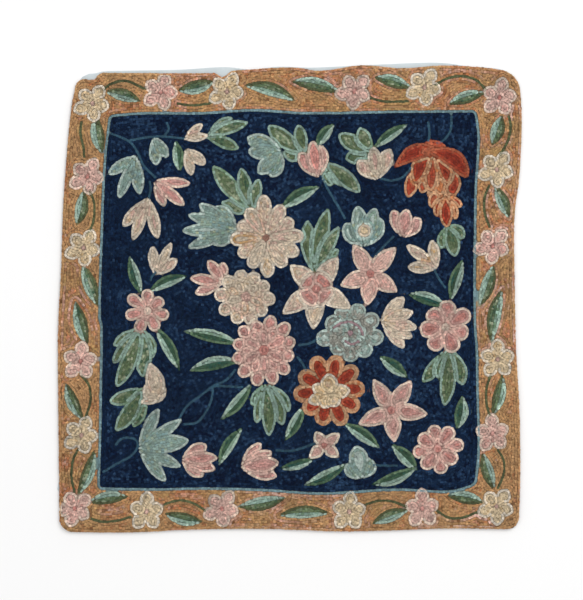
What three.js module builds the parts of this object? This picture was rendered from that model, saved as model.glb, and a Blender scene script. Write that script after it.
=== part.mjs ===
// Crewel cushion cover, empty and lying flat on its back, in millimetres with +Z up.
// Two cloths lie on each other: the plain cotton back, and the front, which is stiff with wool chain
// stitch and has its edges turned under. The origin is the middle of the underside, and +Y is the top
// edge. Neither cloth is square: each edge is drawn in and let out by its sewing, and the back peeps
// out past the front along the top and in one small point on the left.

import * as THREE from 'three';

const BACK_THICKNESS = 1.2;
const CLOTH_GAP = 0.3;
const FRONT_THICKNESS = 3.2;

// The turned hem makes the front thicker in a band along its edge, and the edge itself is rounded.
const HEM_WIDTH = 16;
const HEM_RISE = 1.4;
const EDGE_ROLL = 6;
const EDGE_LIP = 1.1;
const EDGE_LIP_DEPTH = 2;

// Spacing of the mesh lines over the cloth, and their distances from the edge across the rounded rim.
const CLOTH_STEP = 15;
const RIM_LINES = [1.2, 3.6, 8, 15];
const OUTLINE_STEP = 8;
const CORNER_STEPS = 6;

// Edges of the front: how far out each edge lies (reach) at a place along it (at), from the middle.
const FRONT_TOP = [
  { at: -212, reach: 217.4 },
  { at: -193, reach: 216 },
  { at: -187.5, reach: 222 },
  { at: -178, reach: 222.5 },
  { at: -110, reach: 222.2 },
  { at: -72, reach: 222.6 },
  { at: -48, reach: 225.3 },
  { at: 5, reach: 228 },
  { at: 32, reach: 224.6 },
  { at: 74, reach: 230.2 },
  { at: 112, reach: 227.2 },
  { at: 155, reach: 229.9 },
  { at: 200, reach: 227.4 },
  { at: 231, reach: 222 },
];
const FRONT_RIGHT = [
  { at: -234, reach: 229 },
  { at: -175, reach: 230.6 },
  { at: -112, reach: 229.8 },
  { at: -50, reach: 226.4 },
  { at: 30, reach: 224.8 },
  { at: 82, reach: 225 },
  { at: 121, reach: 229.7 },
  { at: 172, reach: 232.2 },
  { at: 212, reach: 230.4 },
];
const FRONT_BOTTOM = [
  { at: -228, reach: 233.4 },
  { at: -159, reach: 234.1 },
  { at: -87, reach: 231 },
  { at: -18, reach: 230.7 },
  { at: 59, reach: 233.1 },
  { at: 161, reach: 230.2 },
  { at: 231, reach: 231.2 },
];
const FRONT_LEFT = [
  { at: -234, reach: 227.2 },
  { at: -172, reach: 227.8 },
  { at: -82, reach: 228.7 },
  { at: -32, reach: 228.6 },
  { at: 31, reach: 225.5 },
  { at: 82, reach: 224 },
  { at: 133, reach: 220.7 },
  { at: 187, reach: 215.6 },
  { at: 214, reach: 210.6 },
];

// Places along the top edge where it turns sharply: the step near the left corner, and the short
// stretch that the seam draws down, where the back shows widest.
const TOP_STEP_STOPS = [-193, -190.2, -187.5];
const TOP_NOTCH = { at: -65, half: 9.5, depth: 4.6 };

// Top edge of the back, which shows above the front, and how far it is tucked under elsewhere.
const BACK_TOP = [
  { at: -208, reach: 219 },
  { at: -202, reach: 222.4 },
  { at: -191, reach: 223.6 },
  { at: -185, reach: 225.4 },
  { at: -168, reach: 226 },
  { at: -108, reach: 227.1 },
  { at: -63, reach: 229.7 },
  { at: -37, reach: 227.3 },
  { at: -10, reach: 230.1 },
  { at: 22, reach: 229.2 },
  { at: 78, reach: 231.7 },
  { at: 137, reach: 234.1 },
  { at: 158, reach: 233.6 },
  { at: 182, reach: 230.4 },
  { at: 211, reach: 228 },
  { at: 231, reach: 223.4 },
];
const BACK_TUCK = 1.4;
const BACK_POINT = { at: -190, half: 9.5, reach: 6 };

// Half of the cover's nominal side, 18 inches, and the radius of each corner.
const HALF_SIDE = 228.6;
const FRONT_CORNERS = { topLeft: 8, topRight: 17, bottomRight: 11, bottomLeft: 12 };
const BACK_CORNERS = { topLeft: 7, topRight: 16, bottomRight: 12, bottomLeft: 13 };

// Soft swells where the stiff front doesn't lie flat on the back: middle, half lengths, turn in degrees.
const SWELLS = [
  { x: 8, y: 22, along: 130, across: 84, turn: 32, rise: 2.4 },
  { x: 186, y: 70, along: 52, across: 17, turn: 24, rise: 2.6 },
  { x: 34, y: 182, along: 44, across: 16, turn: 78, rise: 2.2 },
  { x: -176, y: 118, along: 62, across: 18, turn: 72, rise: 2.3 },
  { x: -172, y: -96, along: 46, across: 20, turn: -18, rise: 1.9 },
  { x: -66, y: -184, along: 50, across: 15, turn: 84, rise: 1.8 },
  { x: 98, y: -176, along: 58, across: 18, turn: -66, rise: 2.1 },
  { x: 176, y: -128, along: 40, across: 18, turn: 8, rise: 1.7 },
];
const SWELL_EDGE = 34;

// Reach of an edge at a place along it: a smooth line through the rows of its table.
function reachAt(rows, at) {
  const last = rows.length - 1;
  const place = Math.min(Math.max(at, rows[0].at), rows[last].at);
  const next = Math.max(1, rows.findIndex((row) => row.at >= place));
  const before = rows[next - 1];
  const after = rows[next];
  const slope = (i) => {
    const low = rows[Math.max(0, i - 1)];
    const high = rows[Math.min(last, i + 1)];
    return (high.reach - low.reach) / (high.at - low.at);
  };
  const span = after.at - before.at;
  const t = (place - before.at) / span;
  const rising = t * t * (3 - 2 * t);
  const leaving = t * (1 - t) * (1 - t) * span * slope(next - 1);
  const arriving = t * t * (1 - t) * span * slope(next);
  return before.reach + (after.reach - before.reach) * rising + leaving - arriving;
}

// A smooth hump, 1 in the middle and 0 from half away.
function hump(distance, half) {
  const t = Math.min(Math.abs(distance) / half, 1);
  return (1 - t * t) ** 2;
}

// Evenly spaced places from one to another, with some extra ones kept in order.
function places(from, to, step, extra = []) {
  const count = Math.ceil((to - from) / step);
  const even = Array.from({ length: count + 1 }, (_, i) => from + ((to - from) * i) / count);
  const added = extra.filter((place) => place > from && place < to);
  const kept = even.filter((place) => added.every((other) => Math.abs(other - place) > step / 3));
  return [...kept, ...added].sort((a, b) => a - b);
}

// Quarter of an ellipse that leaves one edge at start and joins the next at end, round their corner.
function cornerArc(start, corner, end) {
  const middle = new THREE.Vector2(start.x + end.x - corner.x, start.y + end.y - corner.y);
  const points = [];
  for (let i = 0; i <= CORNER_STEPS; i += 1) {
    const turn = (Math.PI / 2) * (i / CORNER_STEPS);
    const x = middle.x + (start.x - middle.x) * Math.cos(turn) + (end.x - middle.x) * Math.sin(turn);
    const y = middle.y + (start.y - middle.y) * Math.cos(turn) + (end.y - middle.y) * Math.sin(turn);
    points.push(new THREE.Vector2(x, y));
  }
  return points;
}

// Outline of one cloth, counterclockwise from the middle of the bottom left corner, as four sides.
// Each side runs from the middle of one corner's arc to the middle of the next, and has a point at each
// of its extra stops.
function clothSides(edges, corners, extra) {
  const point = {
    bottom: (at) => new THREE.Vector2(at, -edges.bottom(at)),
    right: (at) => new THREE.Vector2(edges.right(at), at),
    top: (at) => new THREE.Vector2(at, edges.top(at)),
    left: (at) => new THREE.Vector2(-edges.left(at), at),
  };
  const bottomLeft = point.bottom(-edges.left(-HALF_SIDE));
  const bottomRight = point.bottom(edges.right(-HALF_SIDE));
  const topRight = point.top(edges.right(HALF_SIDE));
  const topLeft = point.top(-edges.left(HALF_SIDE));
  const run = (side, from, to, more = []) => {
    const stops = places(Math.min(from, to), Math.max(from, to), OUTLINE_STEP, more);
    const ordered = from < to ? stops : stops.reverse();
    return ordered.map((at) => point[side](at));
  };
  const straight = {
    bottom: run('bottom', bottomLeft.x + corners.bottomLeft, bottomRight.x - corners.bottomRight),
    right: run('right', bottomRight.y + corners.bottomRight, topRight.y - corners.topRight),
    top: run('top', topRight.x - corners.topRight, topLeft.x + corners.topLeft, extra.top),
    left: run('left', topLeft.y - corners.topLeft, bottomLeft.y + corners.bottomLeft, extra.left),
  };
  const arcs = {
    bottomRight: cornerArc(straight.bottom.at(-1), bottomRight, straight.right[0]),
    topRight: cornerArc(straight.right.at(-1), topRight, straight.top[0]),
    topLeft: cornerArc(straight.top.at(-1), topLeft, straight.left[0]),
    bottomLeft: cornerArc(straight.left.at(-1), bottomLeft, straight.bottom[0]),
  };
  const half = CORNER_STEPS / 2;
  const join = (before, side, after) => [
    ...arcs[before].slice(half, -1),
    ...straight[side],
    ...arcs[after].slice(1, half + 1),
  ];
  return {
    bottom: join('bottomLeft', 'bottom', 'bottomRight'),
    right: join('bottomRight', 'right', 'topRight'),
    top: join('topRight', 'top', 'topLeft'),
    left: join('topLeft', 'left', 'bottomLeft'),
  };
}

// The sides as one closed run of points, each corner's middle point once.
function closedOutline(sides) {
  return ['bottom', 'right', 'top', 'left'].flatMap((name) => sides[name].slice(0, -1));
}

// A point on a side at a fraction of its length.
function alongSide(points, fraction) {
  const lengths = [0];
  for (let i = 1; i < points.length; i += 1) {
    lengths.push(lengths[i - 1] + points[i].distanceTo(points[i - 1]));
  }
  const goal = fraction * lengths.at(-1);
  const next = Math.max(1, lengths.findIndex((length) => length >= goal - 1e-9));
  const share = (goal - lengths[next - 1]) / (lengths[next] - lengths[next - 1]);
  return points[next - 1].clone().lerp(points[next], share);
}

// Distance from a point to the outline.
function distanceToOutline(point, outline) {
  let nearest = Infinity;
  const foot = new THREE.Vector3();
  const segment = new THREE.Line3();
  const here = new THREE.Vector3(point.x, point.y, 0);
  outline.forEach((start, i) => {
    const end = outline[(i + 1) % outline.length];
    segment.start.set(start.x, start.y, 0);
    segment.end.set(end.x, end.y, 0);
    segment.closestPointToPoint(here, true, foot);
    nearest = Math.min(nearest, foot.distanceTo(here));
  });
  return nearest;
}

// Height of the swells at a place, dying away towards the sewn edge.
function swellAt(x, y, inward) {
  let height = 0;
  for (const swell of SWELLS) {
    const turn = THREE.MathUtils.degToRad(swell.turn);
    const along = (x - swell.x) * Math.cos(turn) + (y - swell.y) * Math.sin(turn);
    const across = (y - swell.y) * Math.cos(turn) - (x - swell.x) * Math.sin(turn);
    height += swell.rise * Math.exp(-((along / swell.along) ** 2) - (across / swell.across) ** 2);
  }
  return height * THREE.MathUtils.smoothstep(inward, 0, SWELL_EDGE);
}

// Fall of a rounded edge at a distance inward from it, as a share of its whole drop.
function rollFall(inward, width) {
  const t = 1 - Math.min(inward / width, 1);
  return 1 - Math.sqrt(1 - t * t);
}

// Underside of the front: it rests just clear of the back, and its lip turns up at the edge.
function frontUnderside(x, y, inward) {
  const resting = BACK_THICKNESS + CLOTH_GAP;
  return resting + swellAt(x, y, inward) + EDGE_LIP * rollFall(inward, EDGE_LIP_DEPTH);
}

// Upper side of the front: full thickness, thicker over the hem, and rolled down at the edge.
function frontUpperSide(x, y, inward) {
  const resting = BACK_THICKNESS + CLOTH_GAP;
  const hem = HEM_RISE * hump(inward - EDGE_ROLL, HEM_WIDTH - EDGE_ROLL);
  const thickness = FRONT_THICKNESS + hem;
  const drop = (thickness - EDGE_LIP) * rollFall(inward, EDGE_ROLL);
  return resting + swellAt(x, y, inward) + thickness - drop;
}

// Fractions of a side at which the mesh lines start: close together over the rim, and at given stops.
function lineFractions(length, stops) {
  const nearEdge = [0, ...RIM_LINES];
  const farEdge = RIM_LINES.map((line) => length - line).reverse();
  const inner = places(RIM_LINES.at(-1), length - RIM_LINES.at(-1), CLOTH_STEP, stops).slice(1, -1);
  return [...nearEdge, ...inner, ...farEdge, length].map((place) => place / length);
}

// Embroidered front: an upper and a lower skin over the same lines, joined along the outline.
function frontGeometry(sides, topStops) {
  const outline = closedOutline(sides);
  const left = [...sides.left].reverse();
  const top = [...sides.top].reverse();
  const corner = { bl: sides.bottom[0], br: sides.right[0], tr: sides.top[0], tl: sides.left[0] };
  const topLines = topStops.map((at) => at - corner.tl.x);
  const columns = lineFractions(corner.tr.x - corner.tl.x, topLines);
  const rows = lineFractions(corner.tl.y - corner.bl.y, []);
  const upper = [];
  const lower = [];
  rows.forEach((v) => {
    columns.forEach((u) => {
      const low = alongSide(sides.bottom, u);
      const high = alongSide(top, u);
      const near = alongSide(left, v);
      const far = alongSide(sides.right, v);
      const point = new THREE.Vector2();
      point.addScaledVector(low, 1 - v).addScaledVector(high, v);
      point.addScaledVector(near, 1 - u).addScaledVector(far, u);
      point.addScaledVector(corner.bl, -(1 - u) * (1 - v)).addScaledVector(corner.br, -u * (1 - v));
      point.addScaledVector(corner.tl, -(1 - u) * v).addScaledVector(corner.tr, -u * v);
      const onEdge = u === 0 || u === 1 || v === 0 || v === 1;
      const inward = onEdge ? 0 : distanceToOutline(point, outline);
      upper.push(point.x, point.y, frontUpperSide(point.x, point.y, inward));
      lower.push(point.x, point.y, frontUnderside(point.x, point.y, inward));
    });
  });
  const width = columns.length;
  const height = rows.length;
  const lowerStart = width * height;
  const onOutline = (i, j) => i === 0 || j === 0 || i === width - 1 || j === height - 1;
  const over = (i, j) => j * width + i;
  const under = (i, j) => (onOutline(i, j) ? over(i, j) : lowerStart + over(i, j));
  const faces = [];
  for (let j = 0; j < height - 1; j += 1) {
    for (let i = 0; i < width - 1; i += 1) {
      const slanted = (i < width / 2) === (j < height / 2);
      const cell = [[i, j], [i + 1, j], [i + 1, j + 1], [i, j + 1]];
      const [a, b, c, d] = cell.map(([p, q]) => over(p, q));
      const [e, f, g, h] = cell.map(([p, q]) => under(p, q));
      if (slanted) {
        faces.push(a, b, d, b, c, d, e, h, f, f, h, g);
      } else {
        faces.push(a, b, c, a, c, d, e, g, f, e, h, g);
      }
    }
  }
  const geometry = new THREE.BufferGeometry();
  geometry.setAttribute('position', new THREE.Float32BufferAttribute([...upper, ...lower], 3));
  geometry.setIndex(faces);
  geometry.computeVertexNormals();
  return geometry;
}

// Cotton back: one flat cloth, which lies on the surface all over.
function backGeometry(sides) {
  const outline = new THREE.Shape(closedOutline(sides));
  return new THREE.ExtrudeGeometry(outline, { depth: BACK_THICKNESS, bevelEnabled: false });
}

const frontEdges = {
  top: (at) => reachAt(FRONT_TOP, at) - TOP_NOTCH.depth * hump(at - TOP_NOTCH.at, TOP_NOTCH.half),
  right: (at) => reachAt(FRONT_RIGHT, at),
  bottom: (at) => reachAt(FRONT_BOTTOM, at),
  left: (at) => reachAt(FRONT_LEFT, at),
};

const backEdges = {
  top: (at) => reachAt(BACK_TOP, at),
  right: (at) => reachAt(FRONT_RIGHT, at) - BACK_TUCK,
  bottom: (at) => reachAt(FRONT_BOTTOM, at) - BACK_TUCK,
  left: (at) => {
    const point = Math.max(0, 1 - Math.abs(at - BACK_POINT.at) / BACK_POINT.half);
    return reachAt(FRONT_LEFT, at) - BACK_TUCK + BACK_POINT.reach * point;
  },
};

const notchStops = [-1, -0.5, 0, 0.5, 1].map((share) => TOP_NOTCH.at + share * TOP_NOTCH.half);
const topStops = [...TOP_STEP_STOPS, ...notchStops];
const pointStops = [-1, 0, 1].map((share) => BACK_POINT.at + share * BACK_POINT.half);

const woolFront = new THREE.MeshStandardMaterial({ color: 0x1d2a4a, roughness: 0.95, metalness: 0 });
const cottonBack = new THREE.MeshStandardMaterial({ color: 0xc8d3d6, roughness: 0.9, metalness: 0 });

const frontSides = clothSides(frontEdges, FRONT_CORNERS, { top: topStops, left: [] });
const front = new THREE.Mesh(frontGeometry(frontSides, topStops), woolFront);
front.name = 'front_panel';

const backSides = clothSides(backEdges, BACK_CORNERS, { top: [], left: pointStops });
const back = new THREE.Mesh(backGeometry(backSides), cottonBack);
back.name = 'back_panel';

const cover = new THREE.Group();
cover.add(back, front);

export default cover;
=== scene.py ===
import math
from functools import partial

import bpy
import numpy as np
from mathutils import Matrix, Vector


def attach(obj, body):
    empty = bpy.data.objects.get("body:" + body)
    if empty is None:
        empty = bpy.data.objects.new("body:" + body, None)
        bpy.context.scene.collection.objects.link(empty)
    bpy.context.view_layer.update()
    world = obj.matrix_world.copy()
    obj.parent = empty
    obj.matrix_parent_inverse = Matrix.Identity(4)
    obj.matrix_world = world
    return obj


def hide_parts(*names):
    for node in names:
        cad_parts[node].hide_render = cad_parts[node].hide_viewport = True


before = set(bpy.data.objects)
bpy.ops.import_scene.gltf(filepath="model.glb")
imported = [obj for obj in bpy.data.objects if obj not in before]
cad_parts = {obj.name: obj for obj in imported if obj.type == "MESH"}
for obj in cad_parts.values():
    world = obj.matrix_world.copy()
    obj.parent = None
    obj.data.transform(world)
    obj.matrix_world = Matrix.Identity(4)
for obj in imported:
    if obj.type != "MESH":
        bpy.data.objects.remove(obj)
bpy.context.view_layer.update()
bpy.ops.object.select_all(action="DESELECT")


# Viewpoint, light and floor.
# The cover is seen from straight above, square on. The floor is pale and plain, and soft light from
# above and a little from the upper right leaves the rolled left and bottom edges slightly darker.
CAMERA_HEIGHT = 1.6
FRAME_HEIGHT = 0.6
SENSOR = 0.024
CAMERA_OFFSET = (0.0033, -0.0031)
FLOOR_SIZE = 6.0
FLOOR_TONE = (0.9, 0.9, 0.9, 1)

camera_data = bpy.data.cameras.new("camera")
camera_data.sensor_fit = "VERTICAL"
camera_data.sensor_height = SENSOR * 1000
camera_data.lens = SENSOR * 1000 * CAMERA_HEIGHT / FRAME_HEIGHT
camera = bpy.data.objects.new("camera", camera_data)
camera.location = (CAMERA_OFFSET[0], CAMERA_OFFSET[1], CAMERA_HEIGHT)
bpy.context.scene.collection.objects.link(camera)
bpy.context.scene.camera = camera

bpy.ops.mesh.primitive_plane_add(size=FLOOR_SIZE, location=(0, 0, 0))
floor = bpy.context.active_object
floor.name = "floor"


def set_inputs(node, values):
    """Set a shader node's inputs; an underscore in a name stands for a space."""
    for name, value in values.items():
        node.inputs[name.replace("_", " ")].default_value = value


def new_finish(name, **values):
    """A new material and its shader, with the shader's inputs set."""
    finish = bpy.data.materials.new(name)
    finish.use_nodes = True
    shader = finish.node_tree.nodes["Principled BSDF"]
    set_inputs(shader, values)
    return finish, shader


floor_finish, _ = new_finish("pale_floor", Base_Color=FLOOR_TONE, Roughness=0.9)
floor.data.materials.append(floor_finish)

# Each light: name, place in metres, side of the square, watts
for name, place, side, watts in (
    ("key_light", (0.9, 1.1, 1.7), 1.2, 24),
    ("fill_light", (-1.3, -0.6, 1.9), 1.8, 8),
):
    lamp_data = bpy.data.lights.new(name, "AREA")
    lamp_data.size = side
    lamp_data.energy = watts
    lamp = bpy.data.objects.new(name, lamp_data)
    lamp.location = place
    lamp.rotation_euler = (-Vector(place)).to_track_quat("-Z", "Y").to_euler()
    bpy.context.scene.collection.objects.link(lamp)

sky = bpy.data.worlds.new("studio")
sky.use_nodes = True
set_inputs(sky.node_tree.nodes["Background"], {"Color": (1, 1, 1, 1), "Strength": 0.7})
bpy.context.scene.world = sky
bpy.context.scene.view_settings.view_transform = "Standard"


# Back of the cover: plain pale grey-blue cotton, cut to the same wavy square as the front.
# It lies flat on the surface and is sewn to the front round the edge. It peeps out past the front along
# the top edge, widest in two patches, and in one small point low on the left.
BACK_THICKNESS = 1.2
BACK_TUCK = 1.4
BACK_POINT_AT = -190
BACK_POINT_HALF = 9.5
BACK_POINT_REACH = 6
HALF_SIDE = 228.6
CORNER_STEPS = 12
EDGE_STEP = 2.0
FRONT_CORNERS = {"topLeft": 8, "topRight": 17, "bottomRight": 11, "bottomLeft": 12}
BACK_CORNERS = {"topLeft": 7, "topRight": 16, "bottomRight": 12, "bottomLeft": 13}

# How far out each edge lies, in mm from the middle, at places along it: (at, reach)
FRONT_RIGHT = ((-234, 229), (-175, 230.6), (-112, 229.8), (-50, 226.4), (30, 224.8), (82, 225),
               (121, 229.7), (172, 232.2), (212, 230.4))
FRONT_BOTTOM = ((-228, 233.4), (-159, 234.1), (-87, 231), (-18, 230.7), (59, 233.1), (161, 230.2),
                (231, 231.2))
FRONT_LEFT = ((-234, 227.2), (-172, 227.8), (-82, 228.7), (-32, 228.6), (31, 225.5), (82, 224),
              (133, 220.7), (187, 215.6), (214, 210.6))
BACK_TOP = ((-208, 219), (-202, 222.4), (-191, 223.6), (-185, 225.4), (-168, 226), (-108, 227.1),
            (-63, 229.7), (-37, 227.3), (-10, 230.1), (22, 229.2), (78, 231.7), (137, 234.1),
            (158, 233.6), (182, 230.4), (211, 228), (231, 223.4))


def reach_at(rows, at):
    """Smooth line through the rows of an edge's table, read at one or many places."""
    places, reaches = np.array(rows, float).T
    slopes = np.empty_like(reaches)
    slopes[1:-1] = (reaches[2:] - reaches[:-2]) / (places[2:] - places[:-2])
    slopes[0] = (reaches[1] - reaches[0]) / (places[1] - places[0])
    slopes[-1] = (reaches[-1] - reaches[-2]) / (places[-1] - places[-2])
    at = np.clip(np.asarray(at, float), places[0], places[-1])
    after = np.clip(np.searchsorted(places, at), 1, len(places) - 1)
    span = places[after] - places[after - 1]
    t = (at - places[after - 1]) / span
    rising = t * t * (3 - 2 * t)
    leaving = t * (1 - t) ** 2 * span * slopes[after - 1]
    arriving = t * t * (1 - t) * span * slopes[after]
    return reaches[after - 1] + (reaches[after] - reaches[after - 1]) * rising + leaving - arriving


def hump(distance, half):
    """1 in the middle, falling smoothly to 0 at half away."""
    t = np.minimum(np.abs(distance) / half, 1)
    return (1 - t * t) ** 2


def back_left(at):
    point = np.maximum(0, 1 - np.abs(at - BACK_POINT_AT) / BACK_POINT_HALF)
    return reach_at(FRONT_LEFT, at) - BACK_TUCK + BACK_POINT_REACH * point


back_edges = {
    "top": partial(reach_at, BACK_TOP),
    "right": lambda at: reach_at(FRONT_RIGHT, at) - BACK_TUCK,
    "bottom": lambda at: reach_at(FRONT_BOTTOM, at) - BACK_TUCK,
    "left": back_left,
}


def corner_arc(start, corner, end):
    """Quarter of an ellipse from one edge to the next, round their corner."""
    middle = start + end - corner
    turn = np.linspace(0, math.pi / 2, CORNER_STEPS + 1)[:, None]
    return middle + (start - middle) * np.cos(turn) + (end - middle) * np.sin(turn)


# Sides of a cloth, and the corners that they start from
SIDES = ("bottom", "right", "top", "left")
CORNERS = ("bottomLeft", "bottomRight", "topRight", "topLeft")


def cloth_sides(edges, radii):
    """Outline of a cloth as four sides, each from the middle of one corner to that of the next."""
    point = {
        "bottom": lambda at: np.stack((at, -edges["bottom"](at)), -1),
        "right": lambda at: np.stack((edges["right"](at), at), -1),
        "top": lambda at: np.stack((at, edges["top"](at)), -1),
        "left": lambda at: np.stack((-edges["left"](at), at), -1),
    }
    low, high = np.array(-HALF_SIDE), np.array(HALF_SIDE)
    corners = (
        point["bottom"](-edges["left"](low)),
        point["bottom"](edges["right"](low)),
        point["top"](edges["right"](high)),
        point["top"](-edges["left"](high)),
    )
    straight = []
    for number, side in enumerate(SIDES):
        after, axis = (number + 1) % 4, number % 2
        ahead = 1 if number < 2 else -1
        start = corners[number][axis] + ahead * radii[CORNERS[number]]
        end = corners[after][axis] - ahead * radii[CORNERS[after]]
        count = math.ceil(abs(end - start) / EDGE_STEP)
        straight.append(point[side](np.linspace(start, end, count + 1)))
    arcs = [corner_arc(straight[number - 1][-1], corners[number], straight[number][0])
            for number in range(4)]
    half = CORNER_STEPS // 2
    return {
        side: np.concatenate((arcs[number][half:-1], straight[number],
                              arcs[(number + 1) % 4][1:half + 1]))
        for number, side in enumerate(SIDES)
    }


def closed_outline(sides):
    return np.concatenate([sides[name][:-1] for name in SIDES])


def distance_to_outline(points, outline):
    """Distance from each point to the nearest stretch of the outline."""
    start, end = outline, np.roll(outline, -1, axis=0)
    along = end - start
    nearest = np.full(len(points), np.inf)
    for a, step, length in zip(start, along, (along ** 2).sum(1)):
        share = np.clip(((points - a) @ step) / length, 0, 1)[:, None]
        nearest = np.minimum(nearest, np.hypot(*(points - a - share * step).T))
    return nearest


def along_side(points, fractions):
    lengths = np.concatenate(([0], np.cumsum(np.hypot(*np.diff(points, axis=0).T))))
    goals = fractions * lengths[-1]
    return np.stack([np.interp(goals, lengths, points[:, axis]) for axis in (0, 1)], -1)


def line_fractions(count, rim):
    """Fractions of a side for the mesh lines: rim lines at given distances, then even ones."""
    rim = np.array(rim) / (2 * HALF_SIDE)
    inner = np.linspace(rim[-1], 1 - rim[-1], count)[1:-1]
    return np.concatenate(([0], rim, inner, 1 - rim[::-1], [1]))


def cloth_mesh(name, sides, lines, upper_at, lower_at):
    """A cloth as one closed skin: upper and lower faces over the same lines, joined at the outline.

    lines are the mesh lines both across and up the cloth, as shares of a side.
    """
    low, high = along_side(sides["bottom"], lines), along_side(sides["top"][::-1], lines)
    near, far = along_side(sides["left"][::-1], lines), along_side(sides["right"], lines)
    u, v = lines[None, :, None], lines[:, None, None]
    points = low[None] * (1 - v) + high[None] * v + near[:, None] * (1 - u) + far[:, None] * u
    points -= low[0] * (1 - u) * (1 - v) + low[-1] * u * (1 - v) + high[0] * (1 - u) * v
    points -= high[-1] * u * v
    flat = points.reshape(-1, 2)
    edge = np.zeros(points.shape[:2], bool)
    edge[0] = edge[-1] = edge[:, 0] = edge[:, -1] = True
    edge = edge.ravel()
    inward = np.where(edge, 0, distance_to_outline(flat, closed_outline(sides)))
    count = len(flat)
    upper = np.column_stack((flat, upper_at(flat, inward)))
    lower = np.column_stack((flat, lower_at(flat, inward)))
    under = np.where(edge, np.arange(count), count + np.cumsum(~edge) - 1)
    over = np.arange(count).reshape(len(lines), len(lines))
    under = under.reshape(over.shape)
    top, bottom = (
        np.stack((grid[:-1, :-1], grid[:-1, 1:], grid[1:, 1:], grid[1:, :-1]), -1).reshape(-1, 4)
        for grid in (over, under)
    )
    vertices = np.concatenate((upper, lower[~edge])) / 1000
    mesh = bpy.data.meshes.new(name)
    mesh.from_pydata(vertices.tolist(), [], np.concatenate((top, bottom[:, ::-1])).tolist())
    mesh.validate()
    piece = bpy.data.objects.new(name, mesh)
    bpy.context.scene.collection.objects.link(piece)
    mesh.shade_smooth()
    return piece


def plan_map(piece):
    """Lay the piece's own map flat, as seen from above, over the piece's box."""
    mesh = piece.data
    points = np.empty(len(mesh.vertices) * 3)
    mesh.vertices.foreach_get("co", points)
    points = points.reshape(-1, 3)[:, :2]
    low, size = points.min(0), np.ptp(points, axis=0)
    at = np.empty(len(mesh.loops), np.int32)
    mesh.loops.foreach_get("vertex_index", at)
    layer = mesh.uv_layers.new(name="OFBake")
    layer.uv.foreach_set("vector", ((points[at] - low) / size).astype(np.float32).ravel())


def roll_fall(inward, width):
    """Fall of a rounded edge, as a share of its whole drop."""
    t = 1 - np.minimum(inward / width, 1)
    return 1 - np.sqrt(1 - t * t)


BACK_FOLD = 0.9
BACK_RIM = (0.25, 0.6, 1.2, 3)
BACK_LINES = 64


def back_top(points, inward):
    return BACK_THICKNESS - BACK_THICKNESS / 2 * roll_fall(inward, BACK_FOLD)


def back_underside(points, inward):
    return np.where(inward > 0, 0.0, BACK_THICKNESS / 2)


back_sides = cloth_sides(back_edges, BACK_CORNERS)
back_lines = line_fractions(BACK_LINES, BACK_RIM)
back_cloth = cloth_mesh("back_cloth", back_sides, back_lines, back_top, back_underside)
plan_map(back_cloth)


def new_group(name, sockets_in, sockets_out):
    """Shader node group with named inputs and outputs: (name, kind, default) and (name, kind)."""
    group = bpy.data.node_groups.new(name, "ShaderNodeTree")
    for socket, kind, value in sockets_in:
        made = group.interface.new_socket(socket, in_out="INPUT", socket_type=kind)
        made.default_value = value
    for socket, kind in sockets_out:
        group.interface.new_socket(socket, in_out="OUTPUT", socket_type=kind)
    return group, group.nodes.new("NodeGroupInput"), group.nodes.new("NodeGroupOutput")


def new_node(tree, kind, **values):
    """A new shader node in a tree, with its inputs set."""
    made = tree.nodes.new("ShaderNode" + kind)
    set_inputs(made, values)
    return made


# Plain weave: two crossed sets of fine threads, uneven in thickness and tone
THREAD_CONTRAST = 0.45
weave, weave_in, weave_out = new_group(
    "plain_weave",
    (("Pale", "NodeSocketColor", (1, 1, 1, 1)), ("Deep", "NodeSocketColor", (0.5, 0.5, 0.5, 1)),
     ("Threads", "NodeSocketFloat", 600.0)),
    (("Color", "NodeSocketColor"), ("Height", "NodeSocketFloat")),
)
join = weave.links.new
place = new_node(weave, "TexCoord")
crossed = new_node(weave, "Math")
crossed.operation = "MAXIMUM"
for number, direction in enumerate("XY"):
    threads = new_node(weave, "TexWave", Distortion=1.6, Detail=2, Detail_Scale=1.5)
    threads.bands_direction = direction
    join(place.outputs["Object"], threads.inputs["Vector"])
    join(weave_in.outputs["Threads"], threads.inputs["Scale"])
    join(threads.outputs["Fac"], crossed.inputs[number])
slub = new_node(weave, "TexNoise", Scale=45, Detail=6)
join(place.outputs["Object"], slub.inputs["Vector"])
tone = new_node(weave, "Math")
tone.operation = "MULTIPLY_ADD"
tone.inputs[1].default_value = THREAD_CONTRAST
join(crossed.outputs[0], tone.inputs[0])
join(slub.outputs["Fac"], tone.inputs[2])
thread_tone = new_node(weave, "Mix")
thread_tone.data_type = "RGBA"
join(tone.outputs[0], thread_tone.inputs[0])
join(weave_in.outputs["Deep"], thread_tone.inputs[6])
join(weave_in.outputs["Pale"], thread_tone.inputs[7])
join(thread_tone.outputs[2], weave_out.inputs["Color"])
join(crossed.outputs[0], weave_out.inputs["Height"])


def wool_tone(code):
    """A colour written as in a dyer's chart, red green blue in hex, as the shader's own values."""
    channels = np.array([int(code[i:i + 2], 16) for i in (0, 2, 4)]) / 255
    return np.where(channels <= 0.04045, channels / 12.92, ((channels + 0.055) / 1.055) ** 2.4)


COTTON_PALE = "cad3d6"
COTTON_DEEP = "a2aeb4"
COTTON_THREADS = 420
cotton, cotton_shader = new_finish("grey_blue_cotton", Roughness=0.88, Sheen_Weight=0.12,
                                   Specular_IOR_Level=0.2)


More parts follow.
